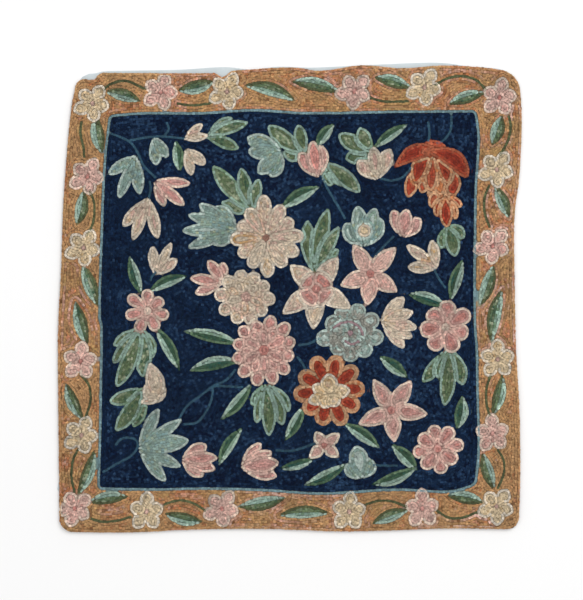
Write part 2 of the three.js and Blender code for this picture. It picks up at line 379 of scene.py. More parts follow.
def lay_pattern(finish, shader, pattern, strength, distance, **values):
    """Put a pattern group's colour on a material, and its height as a fine bump."""
    tree = finish.node_tree
    laid = new_node(tree, "Group")
    laid.node_tree = pattern
    set_inputs(laid, values)
    bump = new_node(tree, "Bump", Strength=strength, Distance=distance)
    tree.links.new(laid.outputs["Color"], shader.inputs["Base Color"])
    tree.links.new(laid.outputs["Height"], bump.inputs["Height"])
    tree.links.new(bump.outputs["Normal"], shader.inputs["Normal"])
    return laid


lay_pattern(cotton, cotton_shader, weave, strength=0.35, distance=0.0002, Threads=COTTON_THREADS,
            Pale=(*wool_tone(COTTON_PALE), 1), Deep=(*wool_tone(COTTON_DEEP), 1))
back_cloth.data.materials.append(cotton)

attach(back_cloth, "root")
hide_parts("back_panel")


# Front of the cover: cotton ground cloth, stiff with wool, its edges turned under as a hem.
# It is sewn to the back round the edge. It doesn't lie quite flat: soft swells run in from where the
# edges are drawn in, and the edge rolls down to the back.
CLOTH_GAP = 0.3
FRONT_THICKNESS = 3.2
WOOL_DEPTH = 0.9
WOOL_DEPTH_WITHIN = 2
HEM_WIDTH = 16
HEM_RISE = 1.4
EDGE_ROLL = 6
EDGE_LIP = 1.1
EDGE_LIP_DEPTH = 2
SWELL_EDGE = 34
TOP_NOTCH_AT = -65
TOP_NOTCH_HALF = 9.5
TOP_NOTCH_DEPTH = 4.6
FRONT_TOP = ((-212, 217.4), (-193, 216), (-187.5, 222), (-178, 222.5), (-110, 222.2), (-72, 222.6),
             (-48, 225.3), (5, 228), (32, 224.6), (74, 230.2), (112, 227.2), (155, 229.9),
             (200, 227.4), (231, 222))

# Swells: middle, half lengths along and across, turn in degrees, rise
SWELLS = (
    (8, 22, 130, 84, 32, 2.4),
    (186, 70, 52, 17, 24, 2.6),
    (34, 182, 44, 16, 78, 2.2),
    (-176, 118, 62, 18, 72, 2.3),
    (-172, -96, 46, 20, -18, 1.9),
    (-66, -184, 50, 15, 84, 1.8),
    (98, -176, 58, 18, -66, 2.1),
    (176, -128, 40, 18, 8, 1.7),
)

front_edges = {
    "top": lambda at: (reach_at(FRONT_TOP, at)
                       - TOP_NOTCH_DEPTH * hump(np.asarray(at) - TOP_NOTCH_AT, TOP_NOTCH_HALF)),
    "right": partial(reach_at, FRONT_RIGHT),
    "bottom": partial(reach_at, FRONT_BOTTOM),
    "left": partial(reach_at, FRONT_LEFT),
}
front_sides = cloth_sides(front_edges, FRONT_CORNERS)
front_outline = closed_outline(front_sides)


def swell_at(points, inward):
    height = np.zeros(len(points))
    for x, y, along_half, across_half, turn, rise in SWELLS:
        turn = math.radians(turn)
        dx, dy = points[:, 0] - x, points[:, 1] - y
        along = dx * math.cos(turn) + dy * math.sin(turn)
        across = dy * math.cos(turn) - dx * math.sin(turn)
        height += rise * np.exp(-(along / along_half) ** 2 - (across / across_half) ** 2)
    t = np.clip(inward / SWELL_EDGE, 0, 1)
    return height * t * t * (3 - 2 * t)


def wool_top(points, inward):
    """Upper side of the finished front, wool and all."""
    thickness = FRONT_THICKNESS + HEM_RISE * hump(inward - EDGE_ROLL, HEM_WIDTH - EDGE_ROLL)
    drop = (thickness - EDGE_LIP) * roll_fall(inward, EDGE_ROLL)
    return BACK_THICKNESS + CLOTH_GAP + swell_at(points, inward) + thickness - drop


def ground_top(points, inward):
    """Upper side of the ground cloth, which the wool hides."""
    return wool_top(points, inward) - WOOL_DEPTH * np.minimum(inward / WOOL_DEPTH_WITHIN, 1)


def front_underside(points, inward):
    resting = BACK_THICKNESS + CLOTH_GAP
    return resting + swell_at(points, inward) + EDGE_LIP * roll_fall(inward, EDGE_LIP_DEPTH)


FRONT_RIM = (0.5, 1.2, 2.2, 3.6, 5.2, 8, 12)
FRONT_LINES = 112
front_lines = line_fractions(FRONT_LINES, FRONT_RIM)
front_cloth = cloth_mesh("front_cloth", front_sides, front_lines, ground_top, front_underside)
plan_map(front_cloth)


# Chart of the embroidery: which wool covers which place.
# The pattern is drawn on the ground cloth before it is worked, one closed shape for each petal, half
# leaf and stem. Places are in mm across from the left and down from the top of the drawing, and
# CHART_MIDDLE is the point of the drawing on the middle of the cover.
CHART_MIDDLE = (288.2, 296.9)
CELL = 0.5
CHART_HALF = 236
ROW_PITCH = 2.5
STITCH_LENGTH = 2.9

cells = int(2 * CHART_HALF / CELL)
across = (np.arange(cells) + 0.5) * CELL - CHART_HALF
chart = np.full((cells, cells), -1, np.int32)

# Dyes of the wool, as in a dyer's chart
WOOL = {
    "navy": "162a46", "navy_light": "2d4665", "ink": "0d1a33", "vine": "35596d", "line": "86a5ac",
    "tan": "c69b6d", "rust_tan": "be7b50", "ochre": "b2905f", "brown": "8c613e", "stem": "5f6545",
    "cream": "dacbb6", "cream_pale": "e3d8c8", "cream_soft": "decaa9", "cream_pink": "ceac9f",
    "pink": "cea299", "pink_pale": "e6d3c2", "pink_soft": "debbae", "rose": "c98b81",
    "grey_green": "8fa69e", "grey_pale": "bccac3", "grey_warm": "a09f95", "lilac": "a3888c",
    "umber": "9a7566", "moss": "a6ad92", "olive": "6a7c5a", "leaf_dark": "42604a",
    "teal": "28544d", "sage": "6f8a6c", "mint": "9cb6a9", "mint_pale": "b2c6b7",
    "rust": "b04c33", "rust_deep": "963726", "rust_soft": "bb6a4c", "rust_rim": "cfa682",
}

# One entry for each shape: its rim wool, fill wool and innermost wool, the piece it belongs to, and
# the flower. The rim wool is used only on the outside of a flower, not between its own petals.
shapes = []


def place_on_cover(points):
    """Places on the drawing as millimetres from the cover's middle."""
    points = np.asarray(points, float)
    return np.stack((points[..., 0] - CHART_MIDDLE[0], CHART_MIDDLE[1] - points[..., 1]), -1)


def cells_inside(outline):
    """Which cells have their middles inside a closed outline, given from the cover's middle."""
    inside = np.zeros(chart.shape, bool)
    for (x1, y1), (x2, y2) in zip(outline, np.roll(outline, -1, axis=0)):
        rows = np.flatnonzero((y1 > across) != (y2 > across))
        crossing = x1 + (across[rows] - y1) * (x2 - x1) / (y2 - y1 if y2 != y1 else 1)
        inside[rows] ^= across[None, :] < crossing[:, None]
    return inside


def add_shape(outline, rim, fill, heart, piece, flower=None):
    """Mark a shape on the chart and note its wools."""
    chart[cells_inside(outline)] = len(shapes)
    shapes.append((rim, fill, heart, piece, flower or len(shapes)))


BLADE_POINTS = 15
SWELLING = 0.8
DISC_POINTS = 24


def blade(base, tip, wide, bow=0.0, widest=0.55, blunt=0.6):
    """A petal or leaf from base to tip, as the runs of its left edge, right edge and middle.

    bow bends it to its left, as a share of its length; blunt is 0.5 for a round tip, 1 for a sharp one.
    """
    base, tip = np.asarray(base, float), np.asarray(tip, float)
    length = np.hypot(*(tip - base))
    ahead = (tip - base) / length
    left = np.array((ahead[1], -ahead[0]))
    t = (1 - np.cos(np.linspace(0, math.pi, BLADE_POINTS))) / 2
    swelling = np.sin(math.pi / 2 * np.minimum(t / widest, 1)) ** SWELLING
    closing = np.cos(math.pi / 2 * np.clip((t - widest) / (1 - widest), 0, 1)) ** blunt
    half = wide / 2 * np.where(t < widest, swelling, closing)
    middle = base + t[:, None] * length * ahead + (4 * bow * length * t * (1 - t))[:, None] * left
    return middle + half[:, None] * left, middle - half[:, None] * left, middle


def add_blade(base, tip, wide, rim, fill, heart, piece, flower=None, **form):
    left, right, _ = blade(base, tip, wide, **form)
    add_shape(place_on_cover(np.concatenate((left, right[::-1]))), rim, fill, heart, piece, flower)


def add_disc(middle, radius, rim, fill, heart, piece, flower=None):
    turn = np.linspace(0, 2 * math.pi, DISC_POINTS, endpoint=False)
    ring = np.stack((middle[0] + radius * np.cos(turn), middle[1] + radius * np.sin(turn)), -1)
    add_shape(place_on_cover(ring), rim, fill, heart, piece, flower)


# Ground: tan all over, then the navy field inside the wavy inner border line
BORDER_LINE_WIDE = 3.0

# Inner border line, reach of each side from the middle of the cover at places along it
FIELD_TOP = ((-182, 180), (-141, 183), (-87, 183), (-34, 186), (18, 183), (107, 184.4), (187, 185))
FIELD_RIGHT = ((-187, 186.8), (-154, 189.8), (-100, 188.8), (-47, 187.8), (-32, 186.3), (33, 185.8),
               (104, 186.8), (158, 189.8), (185, 186.8))
FIELD_BOTTOM = ((-189, 191.1), (-141, 192.1), (-69, 191.1), (-18, 193.1), (36, 196.1), (107, 192.1),
                (161, 194.1), (187, 187.1))
FIELD_LEFT = ((-191, 189.2), (-118, 187.2), (-29, 186.2), (-21, 188.2), (68, 185.7), (140, 182.2),
              (180, 177.7))
add_shape(front_outline, "tan", "tan", "tan", "border_ground")
field_edges = {side: partial(reach_at, rows) for side, rows in (
    ("top", FIELD_TOP), ("right", FIELD_RIGHT), ("bottom", FIELD_BOTTOM), ("left", FIELD_LEFT))}
FIELD_CORNERS = {"topLeft": 4, "topRight": 4, "bottomRight": 5, "bottomLeft": 4}
field_outline = closed_outline(cloth_sides(field_edges, FIELD_CORNERS))


def grown(outline, by):
    """A closed outline moved outwards, or inwards where by is negative."""
    ahead = np.roll(outline, -1, axis=0) - np.roll(outline, 1, axis=0)
    ahead /= np.hypot(*ahead.T)[:, None]
    return outline + by * np.stack((ahead[:, 1], -ahead[:, 0]), -1)


# Shapes only one row wide have no rows of their own: a single row is laid along the middle of each
THIN = "thin"
add_shape(grown(field_outline, BORDER_LINE_WIDE / 2), "line", "line", "line", THIN)
add_shape(grown(field_outline, -BORDER_LINE_WIDE / 2), "navy", "navy", "navy", "field_ground")

# Single rows of stitches: their run, wool and piece. One lies on the steep rolled edge of the cover
EDGE_ROW_IN = 0.4
edge_run = grown(front_outline, -EDGE_ROW_IN)
single_rows = [
    (np.concatenate((field_outline, field_outline[:1])), "line", "border_line"),
    (np.concatenate((edge_run, edge_run[:1])), "tan", "border_ground"),
]
STEM_WIDE = 2.2
STEPS_BETWEEN = 12


def smooth_run(points):
    """A smooth run through the points, at even steps of about 1 mm."""
    points = place_on_cover(points)
    padded = np.concatenate((2 * points[:1] - points[1:2], points, 2 * points[-1:] - points[-2:-1]))
    t = np.linspace(0, 1, STEPS_BETWEEN, endpoint=False)[:, None]
    run = []
    for a, b, c, d in zip(padded, padded[1:], padded[2:], padded[3:]):
        run.append(0.5 * (2 * b + (c - a) * t + (2 * a - 5 * b + 4 * c - d) * t ** 2
                          + (3 * b - a - 3 * c + d) * t ** 3))
    run = np.concatenate((*run, points[-1:]))
    lengths = np.concatenate(([0], np.cumsum(np.hypot(*np.diff(run, axis=0).T))))
    goals = np.linspace(0, lengths[-1], max(2, round(lengths[-1])))
    return np.stack([np.interp(goals, lengths, run[:, axis]) for axis in (0, 1)], -1)


def add_stem(points, wool, piece):
    """A stem or tendril one row wide."""
    run = smooth_run(points)
    ahead = np.gradient(run, axis=0)
    ahead /= np.hypot(*ahead.T)[:, None]
    aside = np.stack((-ahead[:, 1], ahead[:, 0]), -1) * STEM_WIDE / 2
    add_shape(np.concatenate((run + aside, (run - aside)[::-1])), wool, wool, wool, THIN)
    single_rows.append((run, wool, piece))


# Vines of dull blue, one row wide, that join the flowers of the field
for run in (
    ((111, 134), (124, 139), (133, 145), (140, 157), (144, 166), (156, 178)),
    ((130, 141), (147, 138), (163, 137), (185, 139)),
    ((165, 136), (169, 130), (167, 123)),
    ((150, 181), (151, 190), (149, 200)),
    ((103, 472), (118, 463), (132, 455), (138, 446), (136, 439), (128, 437)),
    ((116, 445), (121, 439), (128, 437)),
    ((179, 419), (188, 405), (200, 396), (213, 386), (226, 380), (236, 369)),
    ((213, 386), (212, 398), (206, 412), (197, 422), (184, 424)),
    ((213, 386), (226, 386), (243, 387)),
    ((275, 450), (294, 450), (315, 443)),
    ((322, 176), (328, 190), (337, 205), (345, 219)),
    ((394, 236), (384, 246), (374, 257)),
    ((380, 179), (392, 181), (403, 177), (411, 168)),
    ((433, 268), (438, 278), (445, 288)),
    ((428, 122), (429, 134), (428, 142)),
    ((451, 116), (450, 131), (443, 141), (436, 144)),
    ((151, 281), (152, 277), (156, 272)),
    ((372, 464), (384, 465), (397, 465)),
    ((298, 345), (310, 343), (319, 338)),
    ((297, 356), (303, 364), (306, 371)),
):
    add_stem(run, "vine", "vines")


VEIN_ASIDE = 0.08


def add_leaf(base, tip, wide, pale_side, piece, bow, dark=("sage", "leaf_dark", "olive")):
    """A leaf in two halves, the broad one dark and the narrow one pale. pale_side is 1 or -1."""
    left, right, middle = blade(base, tip, wide, bow, widest=0.5, blunt=0.9)
    pale_edge, dark_edge = (left, right) if pale_side > 0 else (right, left)
    vein = middle + (pale_edge - middle) * VEIN_ASIDE
    leaf = f"leaf {base} {tip}"
    for edge, wools in ((dark_edge, dark), (pale_edge, ("mint_pale", "mint", "mint"))):
        add_shape(place_on_cover(np.concatenate((edge, vein[::-1]))), *wools, piece, leaf)


# Single leaves of the field: base, tip, width, pale side, bow
for base, tip, wide, pale_side, bow in (
    ((176, 141), (180, 173), 12, -1, 0.02),
    ((281, 209), (320, 187), 14, -1, 0.05),
    ((316, 148), (334, 124), 12, -1, 0.04),
    ((373, 149), (408, 124), 11, -1, 0.03),
    ((450, 301), (463, 259), 13, -1, 0.03),
    ((446, 306), (407, 294), 13, -1, -0.04),
    ((142, 294), (130, 256), 12, -1, 0.03),
    ((149, 292), (188, 276), 12, -1, 0.06),
    ((240, 344), (183, 331), 13, -1, -0.03),
    ((240, 361), (189, 371), 14, -1, -0.06),
    ((155, 326), (180, 371), 13, -1, 0.04),
    ((252, 383), (220, 420), 12, -1, 0.04),
    ((219, 465), (243, 427), 12, -1, 0.06),
    ((304, 405), (284, 441), 12, -1, 0.03),
    ((279, 468), (315, 458), 10, -1, -0.04),
    ((347, 463), (303, 485), 12, -1, 0.04),
    ((379, 356), (408, 378), 13, -1, 0.02),
    ((344, 423), (380, 448), 13, -1, 0.03),
    ((456, 429), (462, 395), 14, -1, -0.06),
    ((417, 470), (391, 444), 14, 1, -0.03),
    ((416, 467), (371, 484), 13, 1, 0.05),
):
    add_leaf(base, tip, wide, pale_side, "field_leaves", bow)

# Sprays of the field: leaves from one base, each with its tip and width, pale edged and dark within
SPRAY_WIDER = 1.25
for base, leaves in (
    ((207, 138), (((233, 118), 10), ((248, 123), 10), ((239, 149), 10))),
    ((254, 211), (((221, 203), 12), ((213, 166), 14), ((241, 168), 12), ((259, 179), 10))),
    ((306, 154), (((283, 154), 13), ((268, 126), 14), ((298, 125), 11))),
    ((324, 162), (((331, 187), 12), ((344, 187), 12), ((360, 193), 13))),
    ((372, 152), (((345, 159), 13), ((338, 135), 14), ((359, 128), 12))),
    ((446, 226), (((464, 238), 12), ((440, 249), 11), ((455, 257), 12))),
    ((315, 275), (((307, 221), 14), ((338, 249), 11), ((328, 209), 13), ((339, 227), 11))),
    ((141, 328), (((153, 358), 13), ((114, 346), 12), ((143, 377), 14), ((113, 363), 12),
                  ((117, 387), 13))),
    ((144, 388), (((134, 427), 13), ((110, 402), 12), ((116, 431), 13))),
    ((265, 384), (((290, 411), 13), ((252, 406), 11), ((283, 425), 13), ((256, 423), 11),
                  ((269, 436), 12))),
    ((448, 348), (((422, 382), 12), ((463, 385), 14), ((437, 379), 12), ((444, 406), 13))),
):
    for tip, wide in leaves:
        add_blade(base, tip, SPRAY_WIDER * wide, "mint", "olive", "olive", "field_leaves",
                  widest=0.6, bow=0.03, blunt=0.62)

FLOWERS = "field_flowers"

# Rim, fill and heart wools of the flowers
CREAM = ("cream_pale", "cream", "cream")
CREAM_BLUSH = ("cream_pale", "cream", "cream_pink")
PINK = ("pink_pale", "pink", "rose")
PINK_PLAIN = ("pink_pale", "pink", "pink")
GREY = ("grey_pale", "grey_green", "grey_green")
GREY_LIT = ("grey_pale", "grey_green", "grey_pale")
GREY_WARM = ("grey_pale", "grey_warm", "grey_pale")

# Tulips, buds and fans of the field: base, wools, petals as tip and width
for base, wools, petals in (
    ((184, 140), CREAM_BLUSH, (((203, 124), 9), ((208, 136), 9))),
    ((154, 137), GREY, (((157, 166), 13), ((168, 158), 12))),
    ((186, 149), CREAM, (((192, 176), 11), ((206, 165), 12))),
    ((136, 156), GREY, (((109, 175), 12), ((140, 195), 13), ((119, 199), 12))),
    ((155, 181), PINK, (((191, 184), 11), ((165, 207), 11), ((185, 206), 12))),
    ((149, 198), CREAM_BLUSH, (((123, 227), 13), ((158, 239), 13), ((133, 241), 12))),
    ((155, 275), CREAM, (((153, 246), 11), ((178, 259), 12), ((172, 243), 10))),
    ((282, 152), GREY, (((247, 138), 19), ((271, 178), 17), ((248, 152), 17), ((258, 174), 17))),
    ((318, 178), PINK, (((299, 153), 16), ((322, 146), 17), ((312, 141), 14))),
    ((377, 180), CREAM_BLUSH, (((357, 161), 16), ((390, 149), 16), ((373, 147), 15))),
    ((403, 238), PINK_PLAIN, (((392, 210), 15), ((420, 218), 16), ((406, 209), 15))),
    ((437, 268), CREAM, (((406, 245), 12), ((407, 267), 13), ((431, 240), 12))),
    ((364, 247), GREY_LIT, (((344, 224), 20), ((382, 219), 19), ((357, 206), 17), ((375, 208), 16))),
    ((237, 229), GREY_LIT, (((214, 245), 16), ((217, 206), 15), ((188, 248), 13), ((199, 204), 14),
                            ((188, 215), 13), ((182, 231), 14))),
    ((381, 320), CREAM, (((404, 348), 13), ((404, 297), 14), ((412, 338), 13), ((417, 328), 13),
                         ((413, 312), 13))),
    ((224, 282), PINK, (((195, 294), 12), ((223, 262), 11), ((190, 278), 12), ((208, 260), 12))),
    ((139, 448), GREY, (((159, 408), 13), ((166, 481), 13), ((182, 419), 12), ((181, 466), 13),
                        ((189, 440), 18))),
    ((182, 459), PINK, (((204, 476), 15), ((207, 444), 15), ((216, 469), 13), ((218, 457), 13))),
    ((241, 467), PINK_PLAIN, (((277, 476), 15), ((261, 442), 13), ((272, 451), 14), ((279, 462), 16))),
    ((362, 478), GREY_LIT, (((345, 464), 16), ((371, 458), 19), ((356, 445), 20))),
):
    for tip, wide in petals:
        add_blade(base, tip, wide, *wools, FLOWERS, f"flower {base}", widest=0.6, blunt=0.6)

# Cream heart of the large grey-green tulip
add_disc((364, 231), 6.5, "cream", "cream_soft", "cream_soft", FLOWERS, "tulip heart")

# Cream bud, round below and drawn out to a point
add_disc((155, 391), 12, *CREAM, FLOWERS, "cream bud")
for base, tip, wide, bow in (((156, 402), (150, 362), 20, -0.06), ((160, 398), (141, 402), 9, 0.0)):
    add_blade(base, tip, wide, *CREAM, FLOWERS, "cream bud", bow=bow, widest=0.45, blunt=0.8)

# Rust palmette: petals that hang in tiers, then its crown laid over them, then the flower at its foot
add_disc((438, 192), 12, "rust_rim", "rust_tan", "rust_soft", FLOWERS)
for base, tip, wide, fill, heart, bow in (
    ((421, 166), (407, 198), 15, "rust", "rust", -0.04),
    ((447, 166), (452, 198), 17, "rust", "rust_deep", 0.08),
    ((438, 190), (430, 208), 12, "rust_soft", "rust", 0.0),
    ((430, 162), (421, 194), 15, "rust_soft", "rust_tan", 0.0),
    ((436, 162), (440, 196), 15, "rust_tan", "rust_rim", 0.0),
    ((432, 154), (430, 192), 14, "rust_soft", "rust", 0.0),
    ((429, 143), (415, 184), 17, "rust", "rust_deep", -0.04),
    ((437, 143), (447, 184), 16, "rust", "rust_deep", 0.04),
):
    add_blade(base, tip, wide, "rust_rim", fill, heart, FLOWERS, bow=bow, blunt=0.55)
for base, tip, wide, bow, widest, blunt in (
    ((417, 151), (447, 150), 17, 0.06, 0.5, 0.5),
    ((441, 151), (394, 168), 17, -0.15, 0.5, 0.75),
    ((423, 152), (468, 177), 19, 0.17, 0.68, 0.5),
):
    add_blade(base, tip, wide, "rust_soft", "rust", "rust_deep", FLOWERS, "crown", bow=bow,
              widest=widest, blunt=blunt)
for tip, wide in (((462, 207), 11), ((435, 217), 13), ((456, 220), 13), ((446, 228), 14)):
    add_blade((445, 197), tip, wide, "rust_rim", "rust", "rust_deep", FLOWERS, blunt=0.6)


def add_rosette(middle, reaches, turn, tier, wools, flower=None, petal_share=0.8):
    """A round flower: petals side by side round a middle, every other one laid over its neighbours.

    reaches gives each petal's length, clockwise from turn; tier shortens them all for an inner ring.
    petal_share is a petal's width as a share of the way from one petal's tip to the next.
    """
    pitch = 2 * math.pi / len(reaches)
    for number in (*range(0, len(reaches), 2), *range(1, len(reaches), 2)):
        angle = math.radians(turn) + number * pitch
        reach = reaches[number] * tier
        tip = (middle[0] + reach * math.cos(angle), middle[1] + reach * math.sin(angle))
        wide = petal_share * pitch * sum(reaches) / len(reaches) * tier
        add_blade(middle, tip, wide, *wools, FLOWERS, flower, widest=0.74, blunt=0.44)


# Round flowers: middle, turn, petal lengths, share of the inner tier, wools, radius and wool of the
# eye, and how wide the petals are
for middle, turn, reaches, inner, wools, eye, eye_wool, petal_share in (
    ((266, 238), -93, (43, 37, 33, 38, 37, 35, 40, 34, 33, 36, 32, 35), 0, CREAM, 3.6, "umber", 0.8),
    ((246, 297), -103, (28, 27, 27, 30, 27, 29, 29, 31, 32, 30), 0.6, CREAM, 5, "cream_pink", 0.8),
    ((264, 350), -77, (36, 37, 33, 31, 34, 36, 37, 36, 33, 32, 34, 31), 0.66, PINK, 5, "rose", 0.8),
    ((148, 311), -90, (22, 20, 22, 22, 24, 23, 25), 0, PINK, 4, "pink_pale", 0.62),
    ((350, 333), -71, (31, 33, 34, 30, 29, 27, 35, 28, 29), 0.5, GREY_WARM, 3, "lilac", 0.8),
    ((445, 327), -84, (27, 29, 24, 27, 27, 26, 24), 0, PINK, 4, "pink_pale", 0.74),
    ((437, 448), -100, (24, 26, 27, 24, 26, 25, 25, 23), 0, PINK, 4, "rose", 0.76),
):
    flower = f"flower {middle}"
    add_rosette(middle, reaches, turn, 1, wools, flower, petal_share)
    if inner:
        add_rosette(middle, reaches, turn + 180 / len(reaches), inner, wools, flower)
    add_disc(middle, eye, eye_wool, eye_wool, eye_wool, FLOWERS, flower)

# Rust flower, each petal tan with a narrow rust core, and its cream middle
RUST_FLOWER = ((329, 391), (38, 37, 37, 36, 35, 37, 35, 33, 36, 35), -113)
add_rosette(*RUST_FLOWER, 1, ("rust_rim", "rust_tan", "rust_tan"))
add_rosette(*RUST_FLOWER, 0.87, ("rust", "rust_deep", "rust"), petal_share=0.5)
for tip, wide in (((308, 402), 14), ((350, 389), 16), ((312, 385), 14), ((322, 408), 15),
                  ((338, 406), 16), ((329, 373), 18)):
    add_blade((329, 394), tip, wide, "cream_pale", "cream_soft", "cream", FLOWERS, "rust middle",
              widest=0.5, blunt=0.6)

# Pale pink streaks curl through the grey-green flower
for run in (((333, 328), (341, 323), (351, 322), (359, 327), (363, 335)),
            ((344, 340), (351, 344), (359, 341))):
    add_stem(run, "lilac", FLOWERS)

# Stars of the field: middle, tips, width of a petal, radius of the rose eye, wools
for middle, tips, wide, eye, wools in (
    ((370, 274), ((353, 244), (396, 247), (397, 292), (367, 306), (340, 286)), 18, 4,
     ("pink_pale", "pink_soft", "pink_soft")),
    ((391, 410), ((373, 379), (411, 380), (428, 414), (394, 442), (358, 424)), 18, 4,
     ("pink_pale", "pink_soft", "pink")),
    ((316, 288), ((290, 265), (338, 257), (351, 308), (313, 330), (282, 314)), 20, 0, CREAM),
    ((324, 445), ((315, 431), (340, 433), (339, 457), (309, 458)), 13, 3,
     ("cream_pale", "cream_pink", "pink")),
):
    flower = f"flower {middle}"
    for tip in tips:
        add_blade(middle, tip, wide, *wools, FLOWERS, flower, widest=0.42, blunt=0.78)
    if eye:
        add_disc(middle, eye, "pink", "rose", "rose", FLOWERS, flower)

# Four pink petals in the middle of the cream star
add_rosette((316, 289), (17, 18, 16, 17), 42, 1, PINK, "star middle")
add_disc((316, 289), 4, "rose", "rose", "rose", FLOWERS, "star middle")

# Border stems, dark olive and one row wide
for run in (
    ((103, 91), (113, 84), (128, 82), (146, 90)),
    ((177, 104), (192, 106), (211, 104)),
    ((369, 98), (384, 102), (408, 102)),
    ((434, 86), (447, 79), (462, 77), (476, 81), (485, 90)),
    ((82, 122), (81, 134), (84, 148), (85, 158)),
    ((90, 190), (95, 204), (94, 222), (88, 236)),
    ((82, 375), (90, 386), (91, 402), (85, 420)),
    ((80, 448), (74, 458), (72, 475), (75, 492)),
    ((508, 116), (510, 128), (507, 142), (499, 156)),
    ((489, 185), (484, 198), (484, 214), (489, 228)),
    ((491, 373), (486, 388), (486, 404), (489, 415)),
    ((497, 449), (503, 460), (503, 474), (497, 488)),
    ((91, 518), (103, 521), (118, 520), (132, 516)),
    ((164, 504), (178, 500), (192, 502), (206, 510)),
    ((365, 504), (379, 500), (393, 501), (406, 506)),
    ((436, 510), (448, 517), (462, 517), (478, 511)),
):
    add_stem(run, "stem", "border_stems")

# Border leaves: base, tip, width, pale side, bow
BORDER_WIDER = 1.15
for base, tip, wide, pale_side, bow in (
    ((106, 92), (141, 102), 11, -1, 0.04),
    ((178, 91), (215, 82), 12, -1, -0.04),
    ((244, 86), (296, 102), 12, -1, 0.08),
    ((340, 93), (291, 82), 12, -1, -0.05),
    ((374, 78), (412, 89), 11, 1, 0.04),
    ((448, 105), (485, 93), 11, 1, 0.04),
    ((96, 116), (103, 155), 12, -1, -0.04),
    ((84, 191), (77, 226), 12, -1, 0.05),
    ((83, 264), (98, 306), 12, -1, 0.0),
    ((88, 346), (76, 301), 12, 1, 0.02),
    ((67, 383), (84, 420), 11, -1, -0.06),
    ((95, 450), (78, 495), 11, 1, 0.05),
    ((501, 116), (491, 146), 12, -1, 0.03),
    ((494, 186), (508, 219), 11, -1, 0.03),
    ((493, 265), (479, 307), 12, -1, 0.02),
    ((491, 343), (502, 288), 12, -1, 0.05),
    ((502, 375), (492, 416), 11, 1, 0.04),
    ((482, 452), (494, 490), 11, 1, -0.02),
    ((89, 502), (129, 496), 11, 1, 0.05),
    ((165, 513), (203, 521), 11, -1, -0.04),
    ((238, 506), (286, 497), 12, 1, -0.03),
    ((278, 515), (331, 513), 11, -1, 0.05),
    ((372, 523), (409, 509), 11, -1, 0.03),
    ((447, 495), (484, 502), 11, 1, 0.04),
):
    add_leaf(base, tip, BORDER_WIDER * wide, pale_side, "border_leaves", bow,
             ("stem", "olive", "leaf_dark"))

# Border flowers, cream and pink by turns: their wools, and the middle and turn of each
BORDER_PETALS = (21, 17.4, 19.2, 20.6, 18)
BORDER_PETAL_WIDE = 14.5
BORDER_EYE = 2.4
for petal_wools, eye_wool, flowers in (
    (("cream_pale", "cream_soft", "cream_soft"), "cream_pink", (
        ((93, 104), -60), ((227, 92), -65), ((424, 88), -62), ((84, 248), -60), ((82, 435), -70),
        ((496, 170), -58), ((497, 359), -90), ((496, 506), -56), ((147, 511), -88), ((349, 511), -85))),
    (("pink_pale", "pink_soft", "pink_soft"), "rose", (
        ((161, 93), -72), ((354, 92), -48), ((499, 98), -80), ((88, 177), -65), ((81, 361), -84),
        ((75, 508), -40), ((492, 246), -50), ((492, 433), -94), ((222, 508), -60), ((422, 508), -92))),
):
    for middle, turn in flowers:
        flower = f"flower {middle}"
        for number, reach in enumerate(BORDER_PETALS):
            angle = math.radians(turn + 72 * number)
            tip = (middle[0] + reach * math.cos(angle), middle[1] + reach * math.sin(angle))
            add_blade(middle, tip, BORDER_PETAL_WIDE, *petal_wools, "border_flowers", flower,
                      widest=0.6, blunt=0.68)
        add_disc(middle, BORDER_EYE, eye_wool, eye_wool, eye_wool, "border_flowers", flower)


# Rows of chain stitch: wool worked with a hook, loop through loop, over the whole drawing.
# Each shape is filled from its edge inwards with rows that follow its outline, the first in its rim
# wool. Every stitch is one loop, seen as two plump slanting strands, sunk a little in the cloth.
dice = np.random.default_rng(18)
EASING_PASSES = 6
FAR_AWAY = 1e6
FIRST_LEAP = 64


def distance_to_edges(labels):
    """Distance from each cell to the nearest edge between two shapes, in mm.

    Cells next to an edge know where it is. They offer it to others in leaps, each half the last one.
    """
    near_x = np.full(labels.shape, FAR_AWAY, np.float32)
    near_y = np.full(labels.shape, FAR_AWAY, np.float32)
    x, y = np.meshgrid(across.astype(np.float32), across.astype(np.float32))
    for down, right in ((0, 1), (0, -1), (1, 0), (-1, 0)):
        other = np.roll(labels, (-down, -right), (0, 1))
        edge = other != labels
        near_x[edge] = x[edge] + right * CELL / 2
        near_y[edge] = y[edge] + down * CELL / 2
    step = FIRST_LEAP
    while step:
        for down in (-step, 0, step):
            for right in (-step, 0, step):
                if down == right == 0:
                    continue
                to, giver = (
                    tuple(slice(max(0, -by), cells - max(0, by)) for by in steps)
                    for steps in ((down, right), (-down, -right))
                )
                offered_x, offered_y = near_x[giver], near_y[giver]
                offered = (x[to] - offered_x) ** 2 + (y[to] - offered_y) ** 2
                held = (x[to] - near_x[to]) ** 2 + (y[to] - near_y[to]) ** 2
                better = offered < held
                near_x[to] = np.where(better, offered_x, near_x[to])
                near_y[to] = np.where(better, offered_y, near_y[to])
        step //= 2
    return np.hypot(x - near_x, y - near_y)


